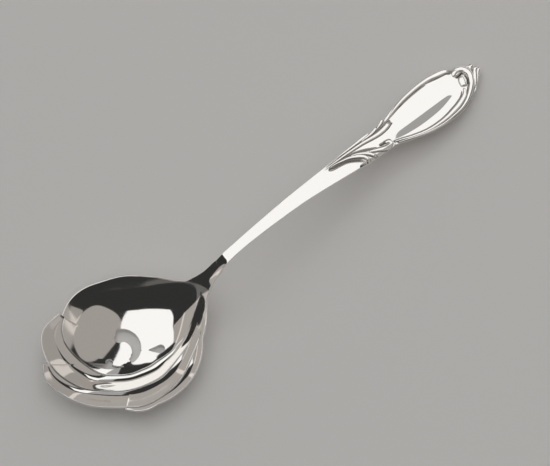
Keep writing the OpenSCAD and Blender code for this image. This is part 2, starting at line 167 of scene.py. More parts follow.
def silverMaterial(name):
    material = bpy.data.materials.new(name)
    material.use_nodes = True
    nodes = material.node_tree.nodes
    links = material.node_tree.links
    shader = nodes["Principled BSDF"]
    shader.inputs["Metallic"].default_value = 1
    place = nodes.new("ShaderNodeTexCoord")
    shadeAndOxide = nodes.new("ShaderNodeAttribute")
    shadeAndOxide.attribute_name = "paintedShadeAndOxide"
    wave = nodes.new("ShaderNodeTexNoise")
    wave.inputs["Scale"].default_value = silver["wave"]
    wave.inputs["Detail"].default_value = silver["waveDetail"]
    grain = nodes.new("ShaderNodeTexNoise")
    grain.inputs["Scale"].default_value = silver["grain"]
    grain.inputs["Detail"].default_value = silver["grainDetail"]
    links.new(place.outputs["Object"], wave.inputs["Vector"])
    links.new(place.outputs["Object"], grain.inputs["Vector"])
    # polished on the high places; where the mask is set the metal is duller and darkened, as painted shade in
    # the creases, grooves and lines, with some oxide in the chased recesses
    polish = nodes.new("ShaderNodeMapRange")
    polish.inputs["To Min"].default_value = silver["rough"]
    polish.inputs["To Max"].default_value = silver["rough"] + silver["roughMore"]
    links.new(wave.outputs["Fac"], polish.inputs["Value"])
    dull = nodes.new("ShaderNodeMath")
    dull.operation = "MULTIPLY_ADD"
    dull.inputs[1].default_value = silver["dull"]
    links.new(shadeAndOxide.outputs["Fac"], dull.inputs[0])
    links.new(polish.outputs["Result"], dull.inputs[2])
    links.new(dull.outputs["Value"], shader.inputs["Roughness"])
    # painted shade: the colour goes toward the dark tone where the mask is set
    tone = nodes.new("ShaderNodeMixRGB")
    tone.inputs["Color1"].default_value = (*silver["color"], 1)
    tone.inputs["Color2"].default_value = (*silver["shadeAndOxideTone"], 1)
    links.new(shadeAndOxide.outputs["Fac"], tone.inputs["Fac"])
    links.new(tone.outputs["Color"], shader.inputs["Base Color"])
    scuff = nodes.new("ShaderNodeBump")
    scuff.inputs["Strength"].default_value = silver["bump"]
    scuff.inputs["Distance"].default_value = silver["bumpDeep"]
    links.new(grain.outputs["Fac"], scuff.inputs["Height"])
    links.new(scuff.outputs["Normal"], shader.inputs["Normal"])
    return material


plainSilver = silverMaterial("polishedSilver")
trimSilver = silverMaterial("castSilver")
print("silver mixed")

# the bowl is a shallow oval whose wall unrolls in four lapping petals
bowl = {"length": 40.0, "width": 29.6, "depth": 9.6, "sheet": 1.0, "rim": 0.5, "rest": 0.22,
        "ovalPower": 1.6, "ovalSoft": 0.1, "swell": 0.25, "swellAt": 125.0, "swellReach": 85.0,
        "floorRound": 0.55, "lipSlope": 0.45, "lipBlend": 1.0, "neckSlope": 0.06,
        "steepest": [(0, 1.25), (90, 1.2), (120, .9), (150, .64), (180, .5), (270, .44), (310, .5),
                     (335, .85), (360, 1.25)],
        "lap": 0.24, "lapStart": 1.5, "lapFade": (295.0, 50.0), "lipReach": 4.5, "ridge": 0.5,
        "cup": (0, 0.65, 0.5, 0.3), "cupRamp": 0.65, "riser": 0.3, "backRiser": 1.2, "backReach": 0.1,
        "edgeGap": 0.2, "leastGap": 0.05, "fair": (-6, -4, -2, 0, 2, 4, 6),
        "rimRound": 0.16, "rimEase": 0.8, "rimSteps": 10,
        # the crease numbers place and darken the painted shade under each petal's lip
        "creaseAt": 0.12, "creaseWide": 0.14, "paintedCreaseShade": 0.55,
        "rowsPerPetal": 20, "floorBand": 0.9, "floorRows": 14, "net": 0.3, "netToRim": 0.6, "netToCut": 0.5,
        "sliver": 1e-5}
# how close the columns of points stand round the bowl, in degrees
columns = {"fine": 0.2, "wider": 0.55, "grow": (0.6, 6.0), "neckEase": 2.5, "stop": 359.7, "last": 359.85,
           "atPetal": (-0.3, -0.02, 0.02), "least": 0.01}
# where each petal starts, and its lip as a share of the oval at each angle
petalStarts = [0, 119, 154, 220]
petalEdges = [
    [(0, .92), (8, .91), (15, .875), (36, .905), (59, .95), (80, .93), (108, .945), (119, .915), (134, .86),
     (149, .68), (160, .56), (172, .47), (183, .4), (211, .35), (247, .305), (297, .37), (330, .6),
     (360, .92)],
    [(119, .95), (132, 1.055), (138, 1.065), (146, 1.015), (152, .975), (158, .93), (169, .805), (186, .67),
     (211, .635), (263, .58), (304, .62), (335, .78), (360, .93)],
    [(154, 1.015), (158, 1.045), (165, 1.03), (177, .91), (199, .91), (220, .905), (233, .95), (246, .92),
     (263, .865), (286, .84), (306, .82), (335, .87), (360, .94)],
    [(220, .935), (228, 1.005), (241, 1.025), (250, .985), (267, .905), (341, .93), (360, .97)]]
neck = {"x": 24.0, "width": 2.5, "thick": 1.8, "thickenR": 14.0, "riseFrom": 19.0, "riseBlend": 1.5,
        "near": (2.0, 6.0), "flare": [(1, 1), (1.3, .9), (1.75, .84), (2.4, .79), (3.7, .72), (7, .6)],
        "channelNear": 0.3, "channelFar": 0.08, "channelHalf": 1.3, "channelRise": (18.0, 5.0),
        "channelFade": (25.0, 4.5)}
neckHalf = math.degrees(math.asin(neck["width"] / 2 / neck["x"]))


def ovalR(a):
    c = np.hypot(np.cos(np.radians(a)), bowl["ovalSoft"]) / bowl["length"]
    s = np.hypot(np.sin(np.radians(a)), bowl["ovalSoft"]) / bowl["width"]
    lemon = (c ** bowl["ovalPower"] + s ** bowl["ovalPower"]) ** (-1 / bowl["ovalPower"]) / 2
    return lemon * (1 + bowl["swell"] * (1 - smooth(np.abs(a - bowl["swellAt"]) / bowl["swellReach"])))


def rise(s):
    return bowl["floorRound"] * s ** 2 + (1 - bowl["floorRound"]) * s ** 4


def softMin(a, b, k):
    return (a + b - np.hypot(a - b, k)) / 2


floorZ = bowl["sheet"] - bowl["depth"] * rise(bowl["rest"])

# how steep the wall's curve is at each share of the oval
steepTable = np.linspace(0, 1.4, 400)
steepRise = 2 * bowl["floorRound"] * steepTable + 4 * (1 - bowl["floorRound"]) * steepTable ** 3


def offNeck(a):
    return np.minimum(a, 360 - a)


def nearNeck(a):
    start, reach = neck["near"]
    return 1 - smooth((offNeck(a) - start * neckHalf) / (reach * neckHalf))


def bowlZ(a, r):
    # the wall steepens upward until it reaches the slope that is set for its side
    oval = ovalR(a)
    steepest = curveAt(bowl["steepest"], a) * oval / bowl["depth"]
    turn = np.interp(steepest, steepRise, steepTable)
    share = r / oval
    wall = rise(np.minimum(share, turn)) + steepest * np.maximum(share - turn, 0)
    wall = floorZ + bowl["depth"] * wall
    lip = floorZ + bowl["depth"] + bowl["lipSlope"] * (r - oval)
    past = r - neck["riseFrom"]
    lift = bowl["neckSlope"] * nearNeck(a) * (past + np.hypot(past, neck["riseBlend"])) / 2
    return softMin(wall, lip, bowl["lipBlend"]) + lift


def neckR(a):
    off = offNeck(a)
    inside = neck["x"] / np.cos(np.radians(np.minimum(off, neckHalf)))
    return np.where(off <= neckHalf, inside, neck["x"] * curveAt(neck["flare"], off / neckHalf))


def petalEdge(k, a):
    turns = [np.clip(a + d, petalStarts[k], 360) for d in bowl["fair"]]
    share = sum(curveAt(petalEdges[k], turn) for turn in turns) / len(turns)
    edge = np.where(a < petalStarts[k], 0, share * ovalR(a))
    if k > 0:
        edge = np.maximum(edge, petalEdge(k - 1, a) + bowl["edgeGap"])
    if k == len(petalEdges) - 1:
        edge = np.maximum(edge, neckR(a))
    return edge


def lapShare(k, a):
    return ramp(a, (petalStarts[k], bowl["lapStart"])) * (1 - ramp(a, bowl["lapFade"]))


def cupShape(t):
    # flat at a petal's foot, then an even slope up to its lip
    foot = bowl["cupRamp"]
    u = np.minimum(t / foot, 1)
    bend = foot * (u ** 3 - u ** 4 / 2) + np.maximum(t - foot, 0)
    return bend / (1 - foot / 2) - t


def lapRelief(a, r, riser):
    # each petal is cupped and drops at its lip to the next one
    z = np.zeros_like(r)
    edges = [petalEdge(k, a) for k in range(len(petalEdges))]
    for k in range(1, len(edges)):
        crease = edges[k - 1]
        inner = edges[k - 2] if k > 1 else crease - bowl["lipReach"]
        up = np.clip((r - inner) / np.maximum(crease - inner, bowl["leastGap"]), 0, 1)
        out = np.clip((r - crease) / np.maximum(edges[k] - crease, bowl["leastGap"]), 0, 1)
        climb = bowlZ(a, edges[k]) - bowlZ(a, crease)
        high = bowl["ridge"] * up
        low = -(1 - bowl["ridge"]) * (1 - out)
        step = bowl["lap"] * blend(high, low, smooth((r - crease) / riser + 0.5))
        z = z + lapShare(k, a) * (step + bowl["cup"][k] * climb * cupShape(out))
    return z


def polar(x, y):
    return np.degrees(np.arctan2(y, x)) % 360, np.hypot(x, y)


def channel(y):
    # the neck is dished across, so its edges stand a little higher than its middle
    deep = np.where(y < 0, neck["channelNear"], neck["channelFar"])
    return deep * (1 - np.exp(-(y / neck["channelHalf"]) ** 2))


def insideZ(x, y, riser):
    a, r = polar(x, y)
    dish = nearNeck(a) * ramp(x, neck["channelRise"])
    return bowlZ(a, r) + lapRelief(a, r, riser) + dish * channel(y)


def slopeNormal(x, y, riser, reach=0.015):
    dx = (insideZ(x + reach, y, riser) - insideZ(x - reach, y, riser)) / 2 / reach
    dy = (insideZ(x, y + reach, riser) - insideZ(x, y - reach, riser)) / 2 / reach
    return unit(np.stack([-dx, -dy, np.ones_like(dx)], 1))


def neckShare(a, r):
    return nearNeck(a) * smooth((r - neck["thickenR"]) / (neck["x"] - neck["thickenR"]))


def wallThick(a, r):
    edge = petalEdge(len(petalEdges) - 1, a)
    return blend(blend(bowl["sheet"], bowl["rim"], (r / edge) ** 2), neck["thick"], neckShare(a, r))


# a comma round a berry, a drop, and a crescent with a round bud
piercing = {"edge": 0.07, "pitch": 0.1, "soften": 5,
            "berry": (-2.8, 2.4), "berryR": 2.4, "berryTurn": (41.9, -84),
            "comma": (-2.1, 3.0), "commaR": 4.2, "commaTurn": (-96.8, 66), "head": (-1.1, 5.1), "headR": 1.1,
            "headTurn": (105, 274.5), "tail": [(-2.64, 0.0), (-2.62, -0.6)],
            "drop": (4.0, -2.9), "dropR": 1.0, "dropTip": (1.9, -1.2),
            "crescent": (-2.2, 7.4), "crescentR": 8.4, "crescentW": 1.1, "crescentSpan": (199.0, 254.0),
            "crescentSteps": 40, "bud": (-6.49, 2.1), "budR": 0.8, "budOpen": 56, "budGap": (237, 225),
            # share of the edge, depth and tilt of each row from the inside to the back
            "lip": [(0.3, 0.3, 0.7), (0, 1, 0), (0, -1, 0), (0.3, -0.3, -0.7)]}


def rounded(loop, times):
    for _ in range(times):
        loop = (np.roll(loop, 1, 0) + 2 * loop + np.roll(loop, -1, 0)) / 4
    return loop


def evenLoop(points, pitch):
    line = np.concatenate([points, points[:1]])
    length = np.concatenate([[0], np.cumsum(np.linalg.norm(np.diff(line, axis=0), axis=1))])
    even = np.linspace(0, length[-1], int(length[-1] / pitch), endpoint=False)
    return np.stack([np.interp(even, length, line[:, i]) for i in (0, 1)], 1)


def commaLoop():
    p = piercing
    belly = arc(p["comma"], p["commaR"], *p["commaTurn"])
    head = arc(p["head"], p["headR"], *p["headTurn"])
    inner = arc(p["berry"], p["berryR"], *p["berryTurn"])
    return np.concatenate([belly, head, inner, np.array(p["tail"])])


def dropLoop():
    p = piercing
    tip = np.array(p["dropTip"])
    away = np.array(p["drop"]) - tip
    bearing = math.degrees(math.atan2(away[1], away[0]))
    taper = math.degrees(math.acos(p["dropR"] / np.linalg.norm(away)))
    belly = arc(p["drop"], p["dropR"], bearing - 180 + taper, bearing + 180 - taper)
    return np.concatenate([belly, tip[None]])


def crescentLoop():
    p = piercing
    start, end = p["crescentSpan"]
    outer = arc(p["crescent"], p["crescentR"], start, end)

    def innerArc(first, last):
        a = np.linspace(first, last, p["crescentSteps"])
        r = p["crescentR"] - p["crescentW"] * np.sin(np.pi * (a - start) / (end - start))
        rad = np.radians(a)
        return np.stack([p["crescent"][0] + r * np.cos(rad), p["crescent"][1] + r * np.sin(rad)], 1)

    budTurn = math.degrees(math.atan2(p["bud"][1] - p["crescent"][1], p["bud"][0] - p["crescent"][0]))
    bud = arc(p["bud"], p["budR"], budTurn + p["budOpen"], budTurn + 360 - p["budOpen"])
    toBud, fromBud = p["budGap"]
    return np.concatenate([outer, innerArc(end, toBud)[1:], bud, innerArc(fromBud, start)[:-1]])


def bowlAngles():
    # closer columns at the neck and where a petal starts
    angles = [0.0]
    while angles[-1] < columns["stop"]:
        a = angles[-1]
        near = min([min(a, 360 - a) / columns["neckEase"]] + [abs(a - s) for s in petalStarts[1:]])
        angles.append(a + columns["fine"] + columns["wider"] * float(ramp(near, columns["grow"])))
    extra = [s + d for s in petalStarts[1:] for d in columns["atPetal"]]
    every = np.unique(np.concatenate([[a for a in angles if a < columns["last"]], extra]))
    return every[np.append(True, np.diff(every) > columns["least"])]


def rimRound(a):
    # no rounding where the neck runs into the handle
    return bowl["rimRound"] * ramp(offNeck(a), (neckHalf, bowl["rimEase"]))


def bowlRows(a):
    first = petalEdge(0, a)
    band = first - bowl["floorBand"]
    rows = [blend(band, first, t) for t in np.linspace(0, 1, bowl["floorRows"])]
    inner = first
    for k in range(1, len(petalEdges)):
        outer = petalEdge(k, a)
        if k == len(petalEdges) - 1:
            outer = outer - rimRound(a)
        steps = smooth(np.linspace(0, 1, bowl["rowsPerPetal"]))[1:]
        rows += [blend(inner, outer, t) for t in steps]
        inner = outer
    return np.array(rows)


def loopSide(loop):
    # sideways from a counter-clockwise loop, out of the opening into the metal
    along = unit(np.roll(loop, -1, 0) - np.roll(loop, 1, 0))
    return np.stack([along[:, 1], -along[:, 0]], 1)


def insideLoop(points, loop):
    x, y = points[:, 0], points[:, 1]
    hit = np.zeros(len(points), bool)
    for (x0, y0), (x1, y1) in zip(loop, np.roll(loop, -1, 0)):
        if y0 == y1:
            continue
        cross = (y0 > y) != (y1 > y)
        hit ^= cross & (x < x0 + (y - y0) * (x1 - x0) / (y1 - y0))
    return hit


def clearOf(points, loop, reach, parts=20):
    far = np.full(len(points), True)
    for part in np.array_split(np.arange(len(points)), parts):
        gap = np.linalg.norm(points[part][:, None] - loop[None], axis=2).min(1)
        far[part] = gap > reach
    return far


def fillFloor(ring, cut):
    # the floor is filled with an even net between its rim and the openings
    step = bowl["net"]
    low, high = ring.min(0), ring.max(0)
    net = np.meshgrid(np.arange(low[0], high[0], step), np.arange(low[1], high[1], step))
    net = np.stack(net, 2).reshape(-1, 2)
    net = net[insideLoop(net, ring) & clearOf(net, ring, step * bowl["netToRim"])]
    for loop in cut:
        net = net[~insideLoop(net, loop) & clearOf(net, loop, step * bowl["netToCut"])]
    flat = np.concatenate([ring] + cut + [net])
    edges = []
    begin = 0
    for loop in [ring] + cut:
        edges += [(begin + i, begin + (i + 1) % len(loop)) for i in range(len(loop))]
        begin += len(loop)
    found = delaunay_2d_cdt([Vector(p) for p in flat], edges, [], 0, 1e-7)
    source = np.array([first[0] for first in found[3]])
    triangles = source[np.array([face for face in found[2] if len(face) == 3])]
    middle = flat[triangles].mean(1)
    keep = insideLoop(middle, ring)
    for loop in cut:
        keep &= ~insideLoop(middle, loop)
    a, b, c = (flat[triangles[:, i]] for i in range(3))
    turn = np.cross(b - a, c - a)
    keep &= np.abs(turn) > bowl["sliver"]
    triangles = triangles[keep]
    turned = turn[keep] < 0
    triangles[turned] = triangles[turned][:, ::-1]
    return flat, triangles


def paintedCreaseShade(angle, radius):
    # painted shade in the corner under each petal's lip
    dark = np.zeros(len(angle))
    for k in range(1, len(petalEdges)):
        gap = radius - petalEdge(k - 1, angle)
        line = np.exp(-((gap - bowl["creaseAt"]) / bowl["creaseWide"]) ** 2)
        dark = np.maximum(dark, line * lapShare(k, angle))
    return dark * bowl["paintedCreaseShade"]


def buildBowl():
    a = bowlAngles()
    count = len(a)
    rows = bowlRows(a)
    grid = np.stack([rows * np.cos(np.radians(a)), rows * np.sin(np.radians(a))], 2).reshape(-1, 2)
    holes = [rounded(evenLoop(loop, piercing["pitch"]), piercing["soften"])
             for loop in (commaLoop(), dropLoop(), crescentLoop())]
    edge = piercing["edge"]
    cut = [loop + loopSide(loop) * edge for loop in holes]
    flat, triangles = fillFloor(grid[:count], cut)
    # the floor's own points follow the rows of the wall
    plan = np.concatenate([grid, flat[count:]])
    number = np.concatenate([np.arange(count), len(grid) + np.arange(len(flat) - count)])
    x, y = plan.T
    angle, radius = polar(x, y)
    straightUp = np.array([0, 0, 1.0])
    top = np.stack([x, y, insideZ(x, y, bowl["riser"])], 1)
    topNormal = slopeNormal(x, y, bowl["riser"])
    backNormal = slopeNormal(x, y, bowl["backRiser"], bowl["backReach"])
    thick = wallThick(angle, radius)[:, None]
    level = (1 - neckShare(angle, radius))[:, None]
    under = np.stack([x, y, insideZ(x, y, bowl["backRiser"])], 1)
    under = under - thick * unit(blend(straightUp, backNormal, level))
    # it is planished flat where it rests on the table
    backNormal = np.where(under[:, 2:] < 0, straightUp, backNormal)
    under[:, 2] = np.maximum(under[:, 2], 0)
    points = [top, under]
    normals = [topNormal, -backNormal]
    total = len(plan)
    faces = number[triangles].tolist() + (number[triangles][:, ::-1] + total).tolist()
    for i in range(len(rows) - 1):
        first = np.arange(count) + i * count
        second = first + count
        faces += strip(first, second) + strip(first + total, second + total, flip=True)
    size = 2 * total
    # the rim is rounded over from the inside to the back
    last = np.arange(count) + (len(rows) - 1) * count
    middle = (top[last] + under[last]) / 2
    across = (top[last] - under[last]) / 2
    half = np.linalg.norm(across, axis=1, keepdims=True)
    outward = np.stack([np.cos(np.radians(a)), np.sin(np.radians(a)), np.zeros(count)], 1)
    outward = unit(outward - across * (outward * across).sum(1, keepdims=True) / half ** 2)
    before = last
    reach = rimRound(a)[:, None]
    for turn in np.linspace(0, np.pi, bowl["rimSteps"])[1:-1]:
        points.append(middle + across * math.cos(turn) + outward * reach * math.sin(turn))
        normals.append(across / half * math.cos(turn) * reach + outward * half * math.sin(turn))
        here = size + np.arange(count)
        faces += strip(before, here)
        before = here
        size += count
    faces += strip(before, last + total)
    # the openings have slightly rounded lips and straight walls
    begin = len(grid)
    for loop in holes:
        here = begin + np.arange(len(loop))
        begin += len(loop)
        inward = np.concatenate([-loopSide(loop), np.zeros((len(loop), 1))], 1)
        before = here
        for share, depth, tilt in piercing["lip"]:
            spot = loop + loopSide(loop) * edge * share
            base = top[here] if depth > 0 else under[here]
            points.append(np.stack([spot[:, 0], spot[:, 1], base[:, 2] - depth * edge], 1))
            normals.append(inward + np.array([0, 0, tilt]))
            lipRow = size + np.arange(len(loop))
            faces += strip(before, lipRow, flip=True)
            before = lipRow
            size += len(loop)
        faces += strip(before, here + total, flip=True)
    shadeAndOxide = np.zeros(size)
    # painted shade along the creases, on the inside face only
    shadeAndOxide[:total] = paintedCreaseShade(angle, radius)
    return makePiece("petalBowl", np.concatenate(points), faces, np.concatenate(normals), shadeAndOxide)


fitPiece(buildBowl(), "bowl", plainSilver)
print("bowl raised and pierced")

# the handle is one forged bar, narrow and arched at first, then a hollowed panel
handle = {"tip": 102.0, "panelX": 74.0, "panelL": 28.0, "panelW": 11.9, "collarX": 48.0, "collarL": 26.0,
          "collarW": 5.2, "hollow": 0.2, "keel": -0.5, "keelPower": 1.25, "ledge": (0.76, 0.1),
          "tipShift": 1.0, "tipSpan": (0.9, 0.1), "crown": 0.03, "crownRise": (24.0, 4.0), "crownFade": 10,
          "skew": 0.6, "skewRise": (24.0, 4.0), "skewFade": (28.0, 4.0),
          "shoulder": 0.45, "shoulderW": 0.7, "curlRise": (63.0, 3.0), "curlFade": (72.5, 2.0),
          "edge": 0.12, "edgeSteps": 7, "leastHalf": 0.05, "under": 0.72, "underSteps": 17,
          "soft": 0.8, "softShare": 0.45, "softGap": 0.05, "across": 121}
# where the cross sections stand: coarse on the plain stem, fine under the ornament, round at the tip
stationStep = {"start": 24.0, "fineStart": 46.0, "fineEnd": 101.4, "coarse": 0.25, "fine": 0.14,
               "tipRound": 0.6, "tipSteps": 12}
# along x: the height of the face, the thickness, and the stem's width
neckZ = float(bowlZ(np.array(0.0), np.array(neck["x"])))
faceLine = [(24, neckZ), (26.2, neckZ + 1.17), (28.5, 14.36), (32, 14.66), (38, 14.7), (48, 13.9),
            (74, 7.4), (102, 2.4)]
thickLine = [(24, 1.8), (48, 1.8), (74, 2.4), (102, 2.4)]
stemLine = [(24, 2.5), (27, 2.3), (30, 2.35), (48, 3.65), (64.12, 5.3), (74, 5.712)]
# along the panel: its outline, and the depth and reach of its hollow
panelLine = [(0, .48), (.14, .69), (.32, .905), (.5, 1), (.64, .985), (.75, .87), (.84, .69), (.91, .53),
             (.965, .34), (1, .15)]
hollowDepth = [(0, 0), (.12, 1), (.58, 1), (.72, 0), (1, 0)]
hollowReach = [(0, .24), (.09, .34), (.19, .4), (.3, .43), (.42, .42), (.53, .38), (.61, .31), (.68, .24),
               (1, .24)]


def panelShare(x):
    return (np.asarray(x, float) - handle["panelX"]) / handle["panelL"]


def halfWidth(x):
    s = panelShare(x)
    wide = curveAt(panelLine, s) * handle["panelW"] / 2
    return np.where(s < 0, curveAt(stemLine, x) / 2, wide)


def tipCenter(x):
    # the tip leans to the far side, under the bead
    return handle["tipShift"] * ramp(panelShare(x), handle["tipSpan"])


def faceZ(x, y):
    s = panelShare(x)
    half = halfWidth(x)
    # the panel is hollowed, with a slope up to its near border that starts at a keel line
    reach = curveAt(hollowReach, s) * handle["panelW"] / 2
    near = np.clip((handle["keel"] - y) / (reach + handle["keel"]), 0, 1) ** handle["keelPower"]
    far = ramp(y / half, handle["ledge"])
    hollow = handle["hollow"] * curveAt(hollowDepth, s) * (1 - near) * (1 - far)
    crown = handle["crown"] * ramp(x, handle["crownRise"]) * (1 - smooth(s * handle["crownFade"] + 1))
    crown = crown * (1 - (y / half) ** 2)
    skew = handle["skew"] * ramp(x, handle["skewRise"]) * (1 - ramp(x, handle["skewFade"]))
    dish = channel(y) * (1 - ramp(x, neck["channelFade"]))
    # the collar's near side is rounded over, where the strands curl round it
    curl = ramp(x, handle["curlRise"]) * (1 - ramp(x, handle["curlFade"]))
    drop = handle["shoulder"] * curl * smooth((handle["shoulderW"] - half - y) / handle["shoulderW"])
    return curveAt(faceLine, x + skew * y) - np.where(s > 0, hollow, 0) + crown + dish - drop


def onPanel(points):
    return [(handle["panelX"] + handle["panelL"] * s, y * handle["panelW"] / 2) for s, y in points]


def onCollar(points):
    return [(handle["collarX"] + handle["collarL"] * s, y * handle["collarW"] / 2) for s, y in points]


leafGirth = [(0, .2), (.6, .8), (.85, .85), (1, .35)]
borderW = 1.1
borderAt = (.15, .25, .35, .5, .62, .7)
borderRun = [(s, float(curveAt(panelLine, s)) - borderW / handle["panelW"]) for s in borderAt]
trim = {
    "left_border": {"route": onPanel(borderRun + [(.76, .79), (.795, .735), (.815, .64)]),
                    "width": borderW, "height": 0.36,
                    "girth": [(0, .3), (.2, .7), (.6, .9), (.9, 1.25), (1, .8)]},
    "right_border": {"route": onPanel([(.815, -.24), (.8, -.38), (.77, -.5), (.725, -.6), (.66, -.695),
                                       (.6, -.745), (.533, -.79), (.44, -.81), (.3, -.76), (.17, -.6),
                                       (.08, -.44), (.02, -.35)]),
                     "width": 1.2, "height": 0.36,
                     "girth": [(0, .5), (.08, .85), (.25, 1), (.4, .75), (.55, .55), (.8, .42), (1, .2)]},
    "crest_scroll": {"route": onPanel([(.83, .31), (.836, .43), (.865, .51), (.905, .5), (.935, .4), (.95, .24),
                                       (.95, .08), (.933, -.08), (.903, -.26), (.865, -.41), (.82, -.56),
                                       (.76, -.72), (.7, -.82), (.64, -.88), (.48, -.93), (.34, -.87),
                                       (.21, -.72), (.1, -.55), (.04, -.46)]),
                     "width": 1.4, "height": 0.36, "vein": 0.55,
                     "girth": [(0, .6), (.06, 1.05), (.25, 1), (.4, .7), (.5, .45), (.8, .35), (1, .15)]},
    "crest_leaf": {"route": onPanel([(.826, -.24), (.838, -.1), (.852, .03), (.872, .22)]),
                   # line sets how dark the painted shade round this leaf is
                   "width": 1.4, "height": 0.2, "line": 0.3, "girth": [(0, .7), (.4, 1), (1, .8)]},
    "finial_leaf": {"route": onPanel([(.88, -.57), (.935, -.36), (.978, -.15), (1.012, .02), (1.05, .125)]),
                    "width": 1.9, "height": 0.36, "vein": -0.1,
                    "girth": [(0, .15), (.4, .55), (.7, .9), (.9, 1), (1, .8)]},
    "collar_scroll": {"route": onCollar([(.3, .68), (.45, .71), (.6, .75), (.77, .75), (.89, .66), (.97, .64),
                                         (1.05, .75), (1.11, .92)]),
                      "width": 1.0, "height": 0.36,
                      "girth": [(0, .15), (.3, .45), (.55, .65), (.8, 1), (.93, 1.1), (1, 1)]},
    "leaf_lower": {"route": onCollar([(.46, .92), (.62, 1), (.76, 1.08), (.9, 1.18)]),
                   "width": 0.8, "height": 0.3, "girth": leafGirth},
    "leaf_middle": {"route": onCollar([(.78, .94), (.91, 1.02), (1, 1.24)]),
                    "width": 0.8, "height": 0.36, "girth": leafGirth},
    "leaf_upper": {"route": onCollar([(.96, 1.03), (1.03, 1.25), (1.09, 1.54)]),
                   "width": 0.8, "height": 0.36, "girth": leafGirth},
    "volute_scroll": {"route": onCollar([(.72, .04), (.79, -.33), (.865, -.65), (.93, -.85), (.98, -.78),
                                         (.98, -.5), (.945, -.38)]),
                      "width": 0.95, "height": 0.36,
                      "girth": [(0, .2), (.3, .7), (.6, 1), (.85, .9), (1, .6)]},
    "upper_curl": {"route": onCollar([(.6, .45), (.68, .13), (.745, -.32), (.777, -.75), (.785, -1)]),
                   "width": 0.8, "height": 0.36, "girth": [(0, .2), (.4, .7), (.8, 1.1), (1, .5)]},
    "lower_curl": {"route": onCollar([(.36, .6), (.43, .55), (.5, .46), (.585, .29), (.667, -.11),
                                      (.703, -.48), (.708, -.85), (.685, -1.03)]),
                   "width": 0.8, "height": 0.36, "girth": [(0, .15), (.4, .6), (.85, 1.15), (1, .5)]}}

# lines chased into the face, with depth, width and how dark they are painted: some oxide in the recess and
# painted shade
grooves = [
    {"route": [(58, 1.8), (60.5, 1.7), (62.8, 1.5), (66.7, .5), (68.8, -.41), (70.5, -1.17)],
     "deep": 0.16, "wide": 0.22, "dark": 0.7},
    {"route": [(57, 1.1), (60.9, .71), (63, .11), (65.1, -1.27), (65.2, -2.2)],
     "deep": 0.25, "wide": 0.35, "dark": 0.75},
    {"route": [(63.7, 2.28), (68.3, 2.25), (71.2, 2.16), (73.35, 2.28), (75, 2.6), (76.8, 2.95)],
     "deep": 0.25, "wide": 0.25, "dark": 0.75},
    {"route": [(97.1, 1.7), (98.2, 1.6), (99.2, 1.75), (99.5, 1.1)], "deep": 0.3, "wide": 0.25, "dark": 1.0},
    {"route": [(99.5, 1.1), (99.2, -.3), (98.2, -1.5)], "deep": 0.3, "wide": 0.25, "dark": 1.0},
    {"route": [(96, -1.6), (95.6, -2.1), (94.6, -2.85), (92.2, -3.9), (88.9, -4.4), (86, -4.5)],
     "deep": 0.2, "wide": 0.14, "dark": 1.0},
    {"route": [(97.4, 2.8), (97.7, 3.5), (98.1, 4.5)], "deep": 0.5, "wide": 0.25, "dark": 1.0},
    {"route": [(70.9, -.86), (72.8, -.98)], "deep": 0.25, "wide": 0.22, "dark": 0.9}]
# how the chased lines run out, and the fine line that is left round each moulding, darkened as painted shade
# with some oxide
chasing = {"runOut": 5, "runOutLeast": 0.1, "lineAt": 0.03, "lineWide": 0.11, "lineDeep": 0.1, "lineShade": 0.7}


def distanceTo(line, x, y, parts=40):
    points = np.stack([x, y], 1)
    gap = np.zeros(len(points))
    place = np.zeros(len(points))
    for part in np.array_split(np.arange(len(points)), parts):
        far = np.linalg.norm(points[part][:, None] - line[None], axis=2)
        gap[part] = far.min(1)
        place[part] = far.argmin(1) / (len(line) - 1)
    return gap, place


def chasedFace(x, y):
    # how far the face is cut down and how dark it is painted at each place, as painted shade with some oxide in
    # the cuts
    cut = np.zeros_like(x)
    dark = np.zeros_like(x)
    for groove in grooves:
        line = through(groove["route"])
        gap, place = distanceTo(line, x, y)
        taper = smooth(np.minimum(place, 1 - place) * chasing["runOut"] + chasing["runOutLeast"])
        fall = np.exp(-(gap / groove["wide"]) ** 2) * taper
        cut = np.maximum(cut, groove["deep"] * fall)
        dark = np.maximum(dark, groove["dark"] * fall)
    for piece in trim.values():
        line = through(piece["route"])
        gap, place = distanceTo(line, x, y)
        half = piece["width"] * curveAt(piece["girth"], place) / 2
        fall = np.exp(-((gap - half - chasing["lineAt"]) / chasing["lineWide"]) ** 2)
        fall = np.where(gap < half, 1, fall) * smooth(place * chasing["runOut"])
        cut = np.maximum(cut, chasing["lineDeep"] * fall)
        # painted shade round the moulding's foot
        dark = np.maximum(dark, piece.get("line", chasing["lineShade"]) * fall)
    return cut, dark


def handleStations():
    p = stationStep
    coarse = np.arange(p["start"], p["fineStart"], p["coarse"])
    fine = np.arange(p["fineStart"], p["fineEnd"], p["fine"])
    tip = handle["tip"] - p["tipRound"] * (1 - np.sin(np.linspace(0, np.pi / 2, p["tipSteps"])))
    return np.concatenate([coarse, fine, tip])


